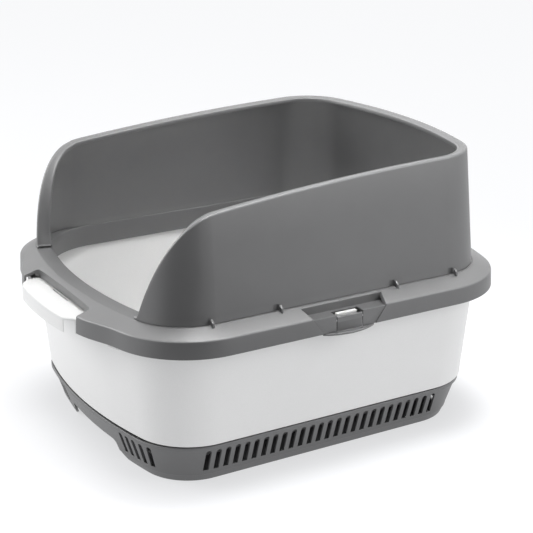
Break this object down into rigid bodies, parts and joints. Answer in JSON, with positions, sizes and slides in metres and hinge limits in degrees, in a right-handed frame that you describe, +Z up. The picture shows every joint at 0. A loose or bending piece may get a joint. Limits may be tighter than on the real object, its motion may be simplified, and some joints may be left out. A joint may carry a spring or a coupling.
{
  "type": "cat litter box with open-top shield",
  "caption": "Open-top cat litter box: ventilated base, tapered litter pan with a front handle, clip-on rim with side latches and a high shield round three sides.",
  "frame": {"origin": "on the floor under the middle of the whole box, handle included", "axes": "+Z up, -Y towards the low front entry and the handle, +X to the right side; the two sides mirror across the YZ plane"},
  "size_m": [0.4766, 0.5796, 0.359],
  "materials": {
    "base_frame": "fine satin grey",
    "pad_tray": "satin dark grey",
    "absorbent_pad": "soft non-woven",
    "litter_pan": "semi-gloss white",
    "floor_grid": "semi-gloss white",
    "rim_frame": "fine satin grey",
    "side_latch_right": "fine satin grey",
    "latch_pin_right": "bright drawn wire",
    "side_latch_left": "fine satin grey",
    "latch_pin_left": "bright drawn wire",
    "shield": "fine satin grey"
  },
  "bodies": {
    "base": {"base_frame": "base_frame", "pad_tray": "pad_tray", "absorbent_pad": "absorbent_pad"},
    "pan": {"litter_pan": "litter_pan"},
    "grid": {"floor_grid": "floor_grid"},
    "rim": {"rim_frame": "rim_frame", "latch_pin_right": "latch_pin_right", "latch_pin_left": "latch_pin_left"},
    "latch_right": {"side_latch_right": "side_latch_right"},
    "latch_left": {"side_latch_left": "side_latch_left"},
    "shield": {"shield": "shield"}
  },
  "joints": [
    {"name": "pan_lift", "type": "slide", "parent": "base", "child": "pan", "axis": [0, 0, 1], "range_m": [0, 0.15]},
    {"name": "grid_lift", "type": "slide", "parent": "pan", "child": "grid", "axis": [0, 0, 1], "range_m": [0, 0.2]},
    {"name": "rim_lift", "type": "slide", "parent": "pan", "child": "rim", "axis": [0, 0, 1], "range_m": [0, 0.12]},
    {"name": "shield_lift", "type": "slide", "parent": "rim", "child": "shield", "axis": [0, 0, 1], "range_m": [0, 0.15]},
    {"name": "latch_right_swing", "type": "hinge", "parent": "rim", "child": "latch_right", "pos_m": [0.2288, 0, 0.194], "axis": [0, -1, 0], "range_deg": [0, 40]},
    {"name": "latch_left_swing", "type": "hinge", "parent": "rim", "child": "latch_left", "pos_m": [-0.2288, 0, 0.194], "axis": [0, 1, 0], "range_deg": [0, 40]}
  ]
}
